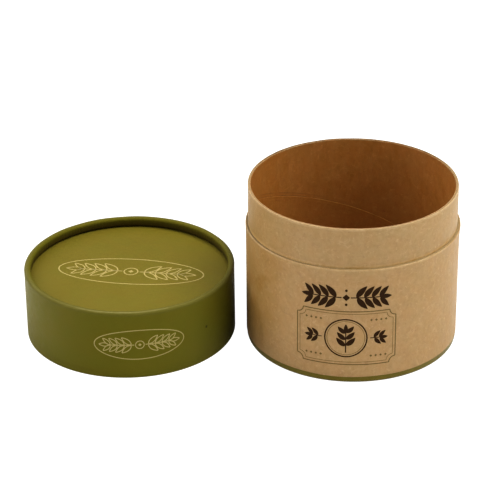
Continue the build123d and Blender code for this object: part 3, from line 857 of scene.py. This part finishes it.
def stroke(pts, width, closed=False, step=0.6, cols=None):
    """A line of constant or varying width, as 2D quads: (points, faces)."""
    p = resample(pts, step, closed) if step else np.array(pts, float)
    n = len(p)
    if callable(width):
        w = np.array([width(k / (n - 1)) for k in range(n)])
    else:
        w = np.full(n, float(width))
    nxt, prv = (np.roll(p, -1, 0), np.roll(p, 1, 0)) if closed else (np.vstack([p[1:], p[-1:]]), np.vstack([p[:1], p[:-1]]))
    tan = nxt - prv
    tan /= np.maximum(np.hypot(*tan.T), 1e-9)[:, None]
    nor = np.stack([-tan[:, 1], tan[:, 0]], 1)
    cols = cols or max(1, int(math.ceil(w.max() / 1.0)))
    k = np.linspace(-0.5, 0.5, cols + 1)
    verts = p[:, None, :] + nor[:, None, :] * (w[:, None] * k[None, :])[:, :, None]
    verts = verts.reshape(-1, 2)
    faces = []
    last = n if closed else n - 1
    for i in range(last):
        j = (i + 1) % n
        for c in range(cols):
            faces.append((i * (cols + 1) + c, j * (cols + 1) + c, j * (cols + 1) + c + 1, i * (cols + 1) + c + 1))
    return verts, faces


def place(shape, x=0, y=0, turn=0, scale=1.0, flip=False):
    v, f = shape
    v = v * scale
    if flip:
        v = v * np.array([1, -1])
        f = [q[::-1] for q in f]
    a = math.radians(turn)
    c, s = math.cos(a), math.sin(a)
    return np.stack([x + v[:, 0] * c - v[:, 1] * s, y + v[:, 0] * s + v[:, 1] * c], 1), f


def mirror(shape):
    v, f = shape
    return v * np.array([-1, 1]), [q[::-1] for q in f]


def leaf(length, width, bow=0.0):
    """Solid leaf along +x from the origin."""
    t = np.linspace(0, 1, 15)
    pts = np.stack([t * length, bow * np.sin(math.pi * t)], 1)
    return stroke(pts, lambda s: width * max(math.sin(math.pi * min(max(s, 0.0), 1.0) ** 0.8), 0.0) ** 0.85 + 0.02, step=None)


def leaf_line(length, width, line):
    """Outline of a leaf along +x, with its midrib."""
    t = np.linspace(0, 1, 22)
    up = np.stack([t * length, width / 2 * np.sin(math.pi * t ** 0.8) ** 0.9], 1)
    low = up[::-1] * np.array([1, -1])
    loop = np.vstack([up, low[1:-1]])
    return stroke(loop, line, closed=True, step=0.45)


def diamond(size):
    pts = np.array([(-size / 2, 0), (0, 0), (size / 2, 0)])
    return stroke(pts, lambda s: size * (1 - abs(2 * s - 1)) + 0.02, step=None, cols=2)


def ring(radius, line):
    a = np.linspace(0, TAU, 37)[:-1]
    return stroke(np.stack([radius * np.cos(a), radius * np.sin(a)], 1), line, closed=True, step=0.5)


def dot(radius):
    t = np.linspace(-1, 1, 9)
    pts = np.stack([t * radius, 0 * t], 1)
    return stroke(pts, lambda s: 2 * radius * max(1 - (2 * s - 1) ** 2, 0) ** 0.5 + 0.02, step=None, cols=2)


def notched(w, h, notch, line):
    """Frame w by h whose corners are cut in by a quarter circle."""
    pts = []
    for cx, cy, a0 in ((w / 2, -h / 2, 180), (w / 2, h / 2, 270), (-w / 2, h / 2, 0), (-w / 2, -h / 2, 90)):
        a = np.radians(np.linspace(a0, a0 - 90, 9))
        pts += [(cx + notch * math.cos(x), cy + notch * math.sin(x)) for x in a]
    return stroke(pts, line, closed=True, step=0.35)


def print_mesh(shapes, to_surface, thick=0.035):
    """2D shapes in mm, laid on a surface as one thin closed solid each. to_surface(x, y, h) gives points in mm."""
    bm = bmesh.new()
    for v, f in shapes:
        top = [bm.verts.new(Vector(p) * MM) for p in to_surface(v[:, 0], v[:, 1], thick * 0.6)]
        low = [bm.verts.new(Vector(p) * MM) for p in to_surface(v[:, 0], v[:, 1], -thick * 0.4)]
        count = {}
        for q in f:
            for a, b in zip(q, q[1:] + q[:1]):
                count[(a, b)] = count.get((a, b), 0) + 1
        for q in f:
            bm.faces.new([top[k] for k in q])
            bm.faces.new([low[k] for k in q[::-1]])
        for a, b in count:
            if (b, a) not in count:
                bm.faces.new([top[b], top[a], low[a], low[b]])
    me = bpy.data.meshes.new("print")
    bm.to_mesh(me)
    bm.free()
    return me


def on_box(mid_deg, z_mid, lift=0.0):
    def f(x, y, h):
        th = math.radians(mid_deg) + x / R_OUT
        zz = z_mid + y
        r = R_OUT + label_warp_r(th, zz) + flare(th, zz) + h + lift
        return np.stack([r * np.cos(th), r * np.sin(th), zz], 1)
    return f


def on_lid_side(mid_deg, z_mid):
    def f(x, y, h):
        th = math.radians(mid_deg) + x / R_OUT
        zz = z_mid + y
        dr, dz = w_rim(th, np.full_like(th, R_OUT), zz)
        r = R_OUT + dr + h
        return np.stack([LID_AT[0] + r * np.cos(th), LID_AT[1] + r * np.sin(th), zz], 1)
    return f


def on_lid_top(turn, cx, cy):
    a = math.radians(turn)
    def f(x, y, h):
        X = cx + x * math.cos(a) - y * math.sin(a)
        Y = cy + x * math.sin(a) + y * math.cos(a)
        rr, th = np.hypot(X, Y), np.arctan2(Y, X)
        dz = w_lid_face(th, rr, 0)[1]
        return np.stack([LID_AT[0] + X, LID_AT[1] + Y, lid_face_z + dz + h], 1)
    return f


# Label: two leafy branches that meet at a diamond, over a notched panel with a sprig in a ring.
def solid_branch(x0, spacing, pairs, length, width, turn, stem, fade=0.045, tip=0.85):
    """Branch along +x with `pairs` pairs of solid leaves and one at its tip."""
    end = x0 + spacing * (pairs - 1)
    out = [stroke([(x0 - spacing * 0.7, 0), (end + 0.6, 0)], stem)]
    for k in range(pairs):
        s = 1 - fade * k
        for side in (1, -1):
            out.append(place(leaf(length * s, width * s, 0.25 * side), x0 + spacing * k + (0.35 if side < 0 else 0), 0.1 * side, turn * side))
    s = 1 - fade * pairs
    out.append(place(leaf(length * s * tip, width * s), end + 0.5, 0, 0))
    return out


def moved(shapes, x=0, y=0, turn=0):
    return [place(q, x, y, turn) for q in shapes]


label_dark, label_rule = [], []
side = solid_branch(4.6, 3.55, 4, 7.5, 2.75, 50, 0.5)
label_dark += moved(side, 0, 21.0) + moved([mirror(q) for q in side], 0, 21.0)
label_dark.append(place(diamond(3.4), 0, 21.0))
for y in (-3.6, 3.6):
    label_dark.append(place(dot(0.62), 0, 21.0 + y))
label_rule.append(notched(46.4, 27.6, 3.0, 0.48))
label_rule.append(notched(43.8, 25.0, 3.0, 0.24))
label_dark.append(ring(9.7, 0.62))
label_rule.append(ring(8.7, 0.24))
sprig = solid_branch(-3.9, 3.3, 3, 5.9, 2.45, 46, 0.5, 0.08, 0.95)
sprig.append(stroke([(-7.3, 0), (-4.0, 0)], 0.5))
label_dark += moved(sprig, 0, -0.2, 90)
side = solid_branch(12.9, 2.5, 2, 4.6, 1.85, 48, 0.4)
label_dark += side + [mirror(q) for q in side]
for s in (1, -1):
    for k in range(4):
        for y in (-9.3, 9.3):
            label_rule.append(place(diamond(1.25), s * (11.6 + 2.3 * k), y))

me = print_mesh(label_dark, on_box(-95.7, 23.7))
finish_mesh(me, 30)
new_object("label_print", me, "box", [], [m_ink])
me = print_mesh(label_rule, on_box(-95.7, 23.7, 0.002))
finish_mesh(me, 30)
new_object("label_rules", me, "box", [], [m_rule])


# Lid: two line branches that meet at a ring, inside a thin oval, on the top and smaller on the side.
def ornament(k, line):
    """Drawn at 35 mm half width, times k. `line` is the width of the lines as printed."""
    one = [stroke([(4.2 * k, 0), (24.0 * k, 0)], line)]
    for j in range(4):
        s = 1 - 0.07 * j
        for side in (1, -1):
            one.append(place(leaf_line(9.6 * s * k, 3.5 * s * k, line), (6.6 + 5.3 * j) * k, 0.25 * side, 41 * side))
    one.append(place(leaf_line(7.6 * k, 2.8 * k, line), 23.8 * k, 0, 0))
    t = np.linspace(0, TAU, 121)[:-1]
    oval = stroke(np.stack([35.0 * k * np.cos(t), 12.4 * k * np.sin(t)], 1), line, closed=True)
    return one + [mirror(q) for q in one] + [ring(3.3 * k, line), place(diamond(2.6 * k), 0, 0), oval]


top_marks = ornament(1.0, 0.62)
me = print_mesh(top_marks, on_lid_top(-8.0, 0.6, 0.0))
finish_mesh(me, 30)
new_object("lid_top_print", me, "lid", [], [m_gold])

side_marks = ornament(0.61, 0.46)
me = print_mesh(side_marks, on_lid_side(-82.5, 17.4))
finish_mesh(me, 30)
new_object("lid_side_print", me, "lid", [], [m_gold_side])

# ------------------------------------------------------------------ floor
me = bpy.data.meshes.new("floor")
s = 12.0
me.from_pydata([(-s, -s, -0.00005), (s, -s, -0.00005), (s, s, -0.00005), (-s, s, -0.00005)], [], [(0, 1, 2, 3)])
floor = bpy.data.objects.new("floor", me)
bpy.context.scene.collection.objects.link(floor)
n = Nodes("studio_floor")
n.bsdf.inputs["Base Color"].default_value = (0.84, 0.84, 0.83, 1)
n.bsdf.inputs["Roughness"].default_value = 0.7
# over-exposed sweep: the eye sees it paler than it lights the object
glow = n.nt.nodes.new("ShaderNodeEmission")
glow.inputs[0].default_value = (1, 1, 1, 1)
glow.inputs[1].default_value = 1.15
path = n.nt.nodes.new("ShaderNodeLightPath")
both = n.nt.nodes.new("ShaderNodeMixShader")
n.link(n.math("MULTIPLY", path.outputs["Is Camera Ray"], 0.88), both.inputs[0])
n.link(n.bsdf.outputs[0], both.inputs[1])
n.link(glow.outputs[0], both.inputs[2])
n.link(both.outputs[0], n.out.inputs[0])
me.materials.append(n.mat)


# ------------------------------------------------------------------ light and camera
WARM = (1.0, 1.0, 0.99)


def area(name, loc, target, size, power, colour=WARM):
    d = bpy.data.lights.new(name, "AREA")
    d.shape = "SQUARE"
    d.size = size
    d.energy = power
    d.color = colour
    ob = bpy.data.objects.new(name, d)
    bpy.context.scene.collection.objects.link(ob)
    ob.location = loc
    ob.rotation_euler = (Vector(target) - Vector(loc)).to_track_quat("-Z", "Y").to_euler()
    return ob


AIM = (-0.03, 0.0, 0.03)
area("softbox_top_right", (0.50, 0.0, 1.30), AIM, 0.9, 36.0)
area("softbox_top_left", (-0.55, 0.0, 1.30), AIM, 0.9, 9.8)
area("softbox_left", (-1.5, 0.0, 0.65), AIM, 0.9, 12.6)
area("softbox_left_back", (-1.0, 0.8, 0.90), AIM, 0.9, 7.5)
area("softbox_left_front", (-1.0, -0.8, 0.90), AIM, 0.9, 6.2)
area("softbox_right_front", (1.12, -0.76, 0.70), AIM, 0.9, 11.0, (0.94, 1.05, 1.16))

world = bpy.data.worlds.new("studio")
world.use_nodes = True
world.node_tree.nodes["Background"].inputs[0].default_value = (*WARM, 1)
world.node_tree.nodes["Background"].inputs[1].default_value = 0.406
# the over-exposed sweep goes on behind the floor's far edge
wt = world.node_tree
seen = wt.nodes.new("ShaderNodeBackground")
seen.inputs[0].default_value = (1, 1, 1, 1)
seen.inputs[1].default_value = 1.15
ray = wt.nodes.new("ShaderNodeLightPath")
pair = wt.nodes.new("ShaderNodeMixShader")
wt.links.new(ray.outputs["Is Camera Ray"], pair.inputs[0])
wt.links.new(wt.nodes["Background"].outputs[0], pair.inputs[1])
wt.links.new(seen.outputs[0], pair.inputs[2])
wt.links.new(pair.outputs[0], wt.nodes["World Output"].inputs[0])
scene = bpy.context.scene
scene.world = world
scene.view_settings.view_transform = "Standard"
scene.view_settings.look = "None"
scene.view_settings.exposure = 0.0
scene.view_settings.gamma = 0.77

pitch, roll = 0.479955, -0.0095496
cp, sp, cr, sr = math.cos(pitch), math.sin(pitch), math.cos(roll), math.sin(roll)
up = Vector((0, sp, cp))
fwd = Vector((0, cp, -sp))
right = Vector((1, 0, 0))
cam_right = cr * right + sr * up
cam_up = -sr * right + cr * up
m = Matrix((cam_right, cam_up, -fwd)).transposed().to_4x4()
m.translation = Vector((-48.093, -892.225, 508.006)) * MM
data = bpy.data.cameras.new("camera")
data.sensor_width = 36.0
data.lens = 2135.419 / 500 * 36.0
data.clip_start, data.clip_end = 0.05, 50
cam = bpy.data.objects.new("camera", data)
scene.collection.objects.link(cam)
cam.matrix_world = m
scene.camera = cam
